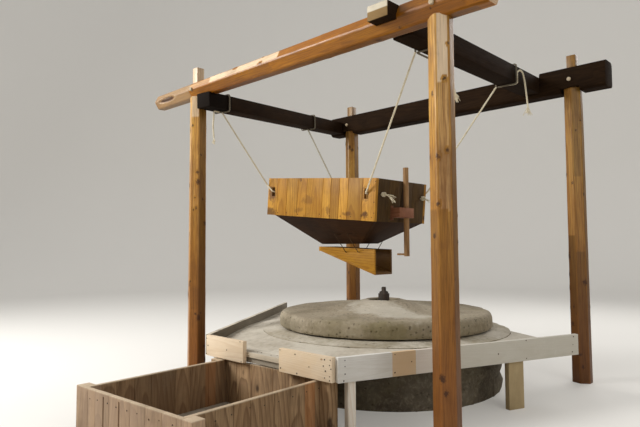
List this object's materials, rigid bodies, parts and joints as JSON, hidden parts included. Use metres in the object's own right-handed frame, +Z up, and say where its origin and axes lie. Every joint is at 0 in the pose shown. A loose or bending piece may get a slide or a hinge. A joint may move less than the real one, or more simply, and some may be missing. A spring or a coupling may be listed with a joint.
{
  "type": "watermill grain mill",
  "caption": "Grain mill of a watermill: millstones on a plank bench under a log frame that carries a hanging hopper and shoe, with a flour bin in front.",
  "frame": {"origin": "on the floor, on the axis of the spindle", "axes": "+Z up along the spindle, +Y from the flour bin to the back posts, +X to the right"},
  "size_m": [2.6299, 2.7118, 2.042],
  "materials": {
    "varnished_log": "varnished, drawknife facets",
    "dark_beam": "dark stained, hewn",
    "golden_board": "oiled pine boards",
    "dark_board": "dark old boards",
    "turned_wood": "plain wood",
    "rope": "natural twine",
    "new_pine": "raw new pine, floury",
    "floury_plank": "grey planks dusted with flour",
    "weathered_plank": "weathered brown planks",
    "millstone": "dressed stone, floury",
    "packed_clay": "smoothed clay, floury",
    "masonry": "rough masonry",
    "forged_iron": "forged, rusty"
  },
  "bodies": {
    "frame": {"beam_back": "dark_beam", "beam_front": "varnished_log", "bedstone": "millstone", "bin_back": "weathered_plank", "bin_floor": "weathered_plank", "bin_front": "weathered_plank", "bin_left": "weathered_plank", "bin_posts": "weathered_plank", "bin_right": "weathered_plank", "clapper_cleat": "turned_wood", "clapper_crossbar": "turned_wood", "clapper_stick": "turned_wood", "clay_collar": "packed_clay", "deck_front": "floury_plank", "deck_left": "floury_plank", "deck_right": "floury_plank", "fence_front_left": "new_pine", "fence_front_right": "new_pine", "fence_left": "new_pine", "fence_right": "new_pine", "funnel_back": "dark_board", "funnel_front": "dark_board", "funnel_left": "dark_board", "funnel_right": "dark_board", "hopper_back": "golden_board", "hopper_front": "golden_board", "hopper_left": "golden_board", "hopper_right": "golden_board", "joist_front": "floury_plank", "joist_left": "floury_plank", "joist_right": "floury_plank", "leg_left": "new_pine", "leg_right": "new_pine", "legs_front": "new_pine", "post_back_left": "varnished_log", "post_back_right": "varnished_log", "post_front_left": "varnished_log", "post_front_right": "varnished_log", "rope_back_left": "rope", "rope_back_right": "rope", "rope_front_left": "rope", "rope_front_right": "rope", "shoe_back": "golden_board", "shoe_bottom": "golden_board", "shoe_cords": "rope", "shoe_front": "golden_board", "shoe_head": "golden_board", "side_beam_left": "dark_beam", "side_beam_right": "dark_beam", "spindle_bush": "turned_wood", "stone_pier": "masonry", "tenon_pegs": "turned_wood"},
    "stone_spindle": {"runner_stone": "millstone", "rynd": "forged_iron", "spindle": "forged_iron"}
  },
  "joints": [
    {"name": "runner_spin", "type": "hinge", "parent": "frame", "child": "stone_spindle", "pos_m": [0, 0, 0.3], "axis": [0, 0, 1], "continuous": true}
  ]
}
